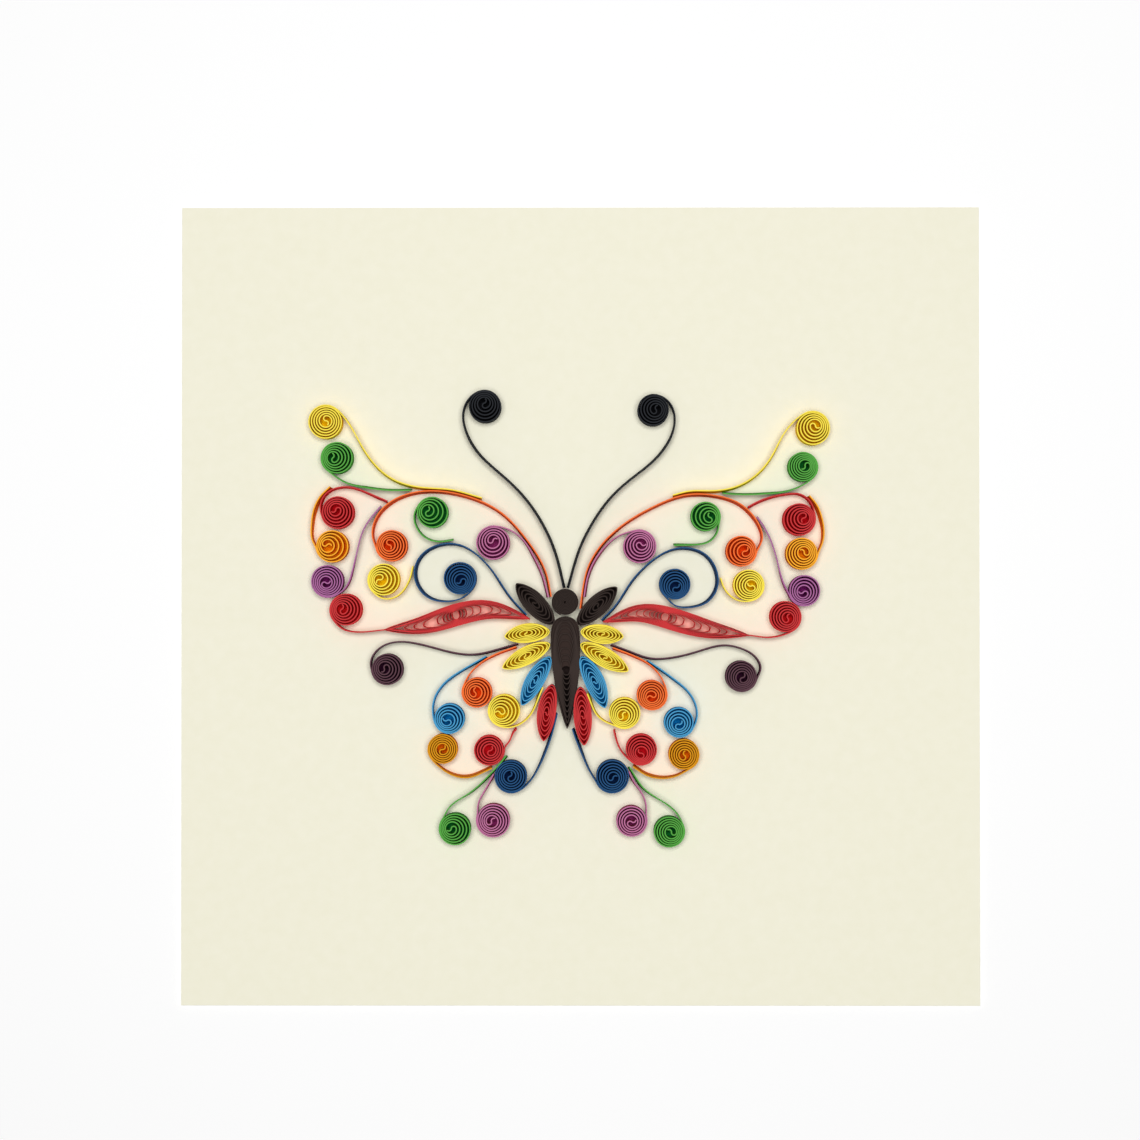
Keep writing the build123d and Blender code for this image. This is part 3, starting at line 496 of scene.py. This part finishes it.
def coloured_paper(name, foot, face, edge):
    """Uncoated coloured paper, slit into strips: matt, with fibres along the strip that mottle the dye, a
    foot painted with the shade and bounce light of the coil's pits, and a top edge painted paler as a
    highlight.
    Fibres are about 0.2 mm wide and 1 mm long, drawn twice as coarse so that they show."""
    material = bpy.data.materials.new(name)
    material.use_nodes = True
    tree = material.node_tree
    shader = tree.nodes["Principled BSDF"]
    shader.inputs["Roughness"].default_value = 0.9
    shader.inputs["IOR"].default_value = 1.5
    shader.inputs["Specular IOR Level"].default_value = 0.1
    uv = add(tree, "ShaderNodeUVMap", {"uv_map": "strip"})
    stretch = add(tree, "ShaderNodeMapping", inputs={"Scale": (1 / (FIBRE_LENGTH * MM), FIBRES_UP, 1)},
                  links={"Vector": uv.outputs["UV"]})
    fibres = add(tree, "ShaderNodeTexNoise", inputs={"Scale": 1.0, "Detail": 4.0, "Roughness": 0.6},
                 links={"Vector": stretch.outputs["Vector"]})
    height = add(tree, "ShaderNodeSeparateXYZ", links={"Vector": uv.outputs["UV"]})
    # The top edge's paler colour is a painted highlight for the light that falls on the strips' tops.
    top_highlight = add(tree, "ShaderNodeMapRange", {"interpolation_type": "SMOOTHSTEP"},
              {"From Min": TOP_HIGHLIGHT_FROM, "From Max": 1.0}, {"Value": height.outputs["Y"]})
    # The foot's colour is painted shade and coloured bounce light for the floor of the coil's pits.
    foot_shade = add(tree, "ShaderNodeMapRange", {"interpolation_type": "SMOOTHSTEP"},
                 {"From Min": 0.0, "From Max": FOOT_SHADE_HEIGHT}, {"Value": height.outputs["Y"]})
    wall = add(tree, "ShaderNodeMix", {"data_type": "RGBA"}, {6: linear(foot), 7: linear(face)},
               {"Factor": foot_shade.outputs["Result"]})
    shade = add(tree, "ShaderNodeMix", {"data_type": "RGBA"}, {7: linear(edge)},
                {"Factor": top_highlight.outputs["Result"], 6: wall.outputs[2]})
    mottle = add(tree, "ShaderNodeMapRange", inputs={"To Min": 0.86, "To Max": 1.14},
                 links={"Value": fibres.outputs["Fac"]})
    dyed = add(tree, "ShaderNodeHueSaturation",
               links={"Color": shade.outputs[2], "Value": mottle.outputs["Result"]})
    tooth = add(tree, "ShaderNodeBump", inputs={"Strength": 0.25, "Distance": FIBRE_DEPTH * MM},
                links={"Height": fibres.outputs["Fac"]})
    tree.links.new(dyed.outputs["Color"], shader.inputs["Base Color"])
    tree.links.new(tooth.outputs["Normal"], shader.inputs["Normal"])
    return material


def cream_card():
    """Smooth uncoated cream card: matt, with cloudy fibre mottling about 2 mm across and a 0.3 mm tooth."""
    material = bpy.data.materials.new("cream_card")
    material.use_nodes = True
    tree = material.node_tree
    shader = tree.nodes["Principled BSDF"]
    shader.inputs["Roughness"].default_value = 0.8
    shader.inputs["IOR"].default_value = 1.5
    shader.inputs["Specular IOR Level"].default_value = 0.25
    place = add(tree, "ShaderNodeTexCoord")
    cloud = add(tree, "ShaderNodeTexNoise", inputs={"Scale": 1 / (CARD_CLOUD * MM), "Detail": 3.0},
                links={"Vector": place.outputs["Object"]})
    tooth = add(tree, "ShaderNodeTexNoise", inputs={"Scale": 1 / (CARD_TOOTH * MM), "Detail": 2.0},
                links={"Vector": place.outputs["Object"]})
    shade = add(tree, "ShaderNodeMix", {"data_type": "RGBA"}, {6: linear("#EFECD5"), 7: linear("#F4F1DE")},
                {"Factor": cloud.outputs["Fac"]})
    grain = add(tree, "ShaderNodeBump", inputs={"Strength": 0.15, "Distance": CARD_TOOTH_DEPTH * MM},
                links={"Height": tooth.outputs["Fac"]})
    tree.links.new(shade.outputs[2], shader.inputs["Base Color"])
    tree.links.new(grain.outputs["Normal"], shader.inputs["Normal"])
    return material


def white_floor():
    """White paper laid flat: matt and plain white, so that it shows the light and the shadow on it."""
    material = bpy.data.materials.new("white_floor")
    material.use_nodes = True
    tree = material.node_tree
    shader = tree.nodes["Principled BSDF"]
    shader.inputs["Base Color"].default_value = linear("#FFFFFF")
    shader.inputs["Roughness"].default_value = 0.9
    shader.inputs["Specular IOR Level"].default_value = 0.0
    return material


# Pieces
paper_material = {slot: coloured_paper(slot, *colours) for slot, colours in PAPERS.items()}

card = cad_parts["card"]
card.data.materials.clear()
card.data.materials.append(cream_card())

for name, (slot, centre, radius, core_shift, winding, leave, hook_angle, route) in SCROLLS.items():
    path = scroll(centre, radius, core_shift, winding, leave, hook_angle, route)
    paper_strip(name, slot, path, [(coil_foot(centre, radius), SHADE_FILM)],
                tail_foot(path, centre, radius, winding))

for name, ((slot, centre, radius, *wound, neck), line, near_ends, far_ends) in LEAVES.items():
    leaf = flattened(line, leaf_outline, near_ends, far_ends, LEAF_PAPER)
    to_neck = scroll(centre, radius, *wound, [*neck, leaf[0]])
    thickness = np.append(np.full(len(to_neck), PAPER), np.full(len(leaf) - 1, LEAF_PAPER))
    # The leaf's film and foot are painted pale pink for the light that its red walls bounce onto the card
    # inside it.
    paper_strip(name, slot, np.vstack([to_neck, leaf[1:]]),
                [(coil_foot(centre, radius), NECK_COIL_SHADE_FILM), (leaf[:TURN_STEPS], SHADE_FILM)],
                thickness=thickness, finish="red_paper_pink_glow")

for name, (slot, tip, inner_end, half_width, bend) in PETALS.items():
    coiled = petal(tip, inner_end, half_width, bend)
    paper_strip(name, slot, coiled, [(coiled[:TURN_STEPS], SHADE_FILM)], thickness=PETAL_PAPER)

body = flattened(BODY_LINE, body_outline, BODY_NEAR_ENDS, BODY_FAR_ENDS, BODY_PAPER)
body_rim = body[:TURN_STEPS]
over_core = np.array(BODY_CORE) + BODY_CORE_PIT * unit(np.linspace(0, 180, BODY_CORE_POINTS)).T
body_upper = np.vstack([body_rim[body_rim[:, 1] > BODY_CORE[1]], over_core])
paper_strip("body", "dark_brown_paper", body, [(body_rim, SHADE_FILM), (body_upper, BODY_FILL)],
            thickness=BODY_PAPER)

head_turns = (HEAD_RADIUS - PAPER / 2 - HEAD_PINHOLE) / HEAD_PITCH
head_s = np.linspace(0, 1, int(head_turns * TURN_STEPS))[:, None]
head_reach = (HEAD_RADIUS - PAPER / 2) * (1 - head_s) + HEAD_PINHOLE * head_s
head = np.array(HEAD_CENTRE) + head_reach * unit(HEAD_START - 360 * head_turns * head_s[:, 0]).T
paper_strip("head", "dark_brown_paper", head, [(coil_foot(HEAD_CENTRE, HEAD_RADIUS), SHADE_FILM)],
            thickness=BODY_PAPER)

# Stage, in metres: a white floor under the card, an even soft sky, and a ring of soft lamps that is brighter
# at the top
LAMPS = 6
LAMP_POWER = 1.2
LAMP_LEAN = 0.5     # how much brighter than the mean the ring is at its top
LAMP_RING = 0.22    # from the card's centre to a lamp, across and up
LAMP_HEIGHT = 0.86
LAMP_SIZE = 0.2     # across
SKY_STRENGTH = 0.12
FLOOR_REACH = 2.0
FLOOR_DROP = 0.02 * MM
floor_mesh = bpy.data.meshes.new("floor")
floor_corners = FLOOR_REACH * np.array([(-1, -1, 0), (1, -1, 0), (1, 1, 0), (-1, 1, 0)])
floor_mesh.from_pydata(floor_corners.tolist(), [], [(0, 1, 2, 3)])
floor_mesh.materials.append(white_floor())
floor = bpy.data.objects.new("floor", floor_mesh)
floor.location.z = -FLOOR_DROP
bpy.context.collection.objects.link(floor)

world = bpy.data.worlds.new("sky")
world.use_nodes = True
world.node_tree.nodes["Background"].inputs["Color"].default_value = linear("#FFFFFF")
world.node_tree.nodes["Background"].inputs["Strength"].default_value = SKY_STRENGTH
bpy.context.scene.world = world

for turn in range(LAMPS):
    around = 2 * np.pi * (turn + 0.5) / LAMPS
    lamp = bpy.data.lights.new("softbox", "AREA")
    lamp.shape = "DISK"
    lamp.size = LAMP_SIZE
    lamp.energy = LAMP_POWER * (1 + LAMP_LEAN * np.sin(around))
    softbox = bpy.data.objects.new("softbox", lamp)
    softbox.location = (LAMP_RING * np.cos(around), LAMP_RING * np.sin(around), LAMP_HEIGHT)
    softbox.rotation_euler = (0, np.arctan2(LAMP_RING, LAMP_HEIGHT), around)
    bpy.context.collection.objects.link(softbox)

# Camera: above the card, looking down, with the card's lower edge a little nearer
CAMERA_PLACE = (-0.26, 3.24, 416.5)
CAMERA_TURN = (0.486, 0.231, -0.009)
SENSOR = 36.0
FOCAL_PIXELS = 2211.4
PICTURE_PIXELS = 1140
camera = bpy.data.objects.new("camera", bpy.data.cameras.new("camera"))
camera.location = np.array(CAMERA_PLACE) * MM
camera.rotation_euler = np.radians(CAMERA_TURN)
camera.data.sensor_width = SENSOR
camera.data.lens = SENSOR * FOCAL_PIXELS / PICTURE_PIXELS
bpy.context.collection.objects.link(camera)
bpy.context.scene.camera = camera
bpy.context.scene.view_settings.view_transform = "Standard"
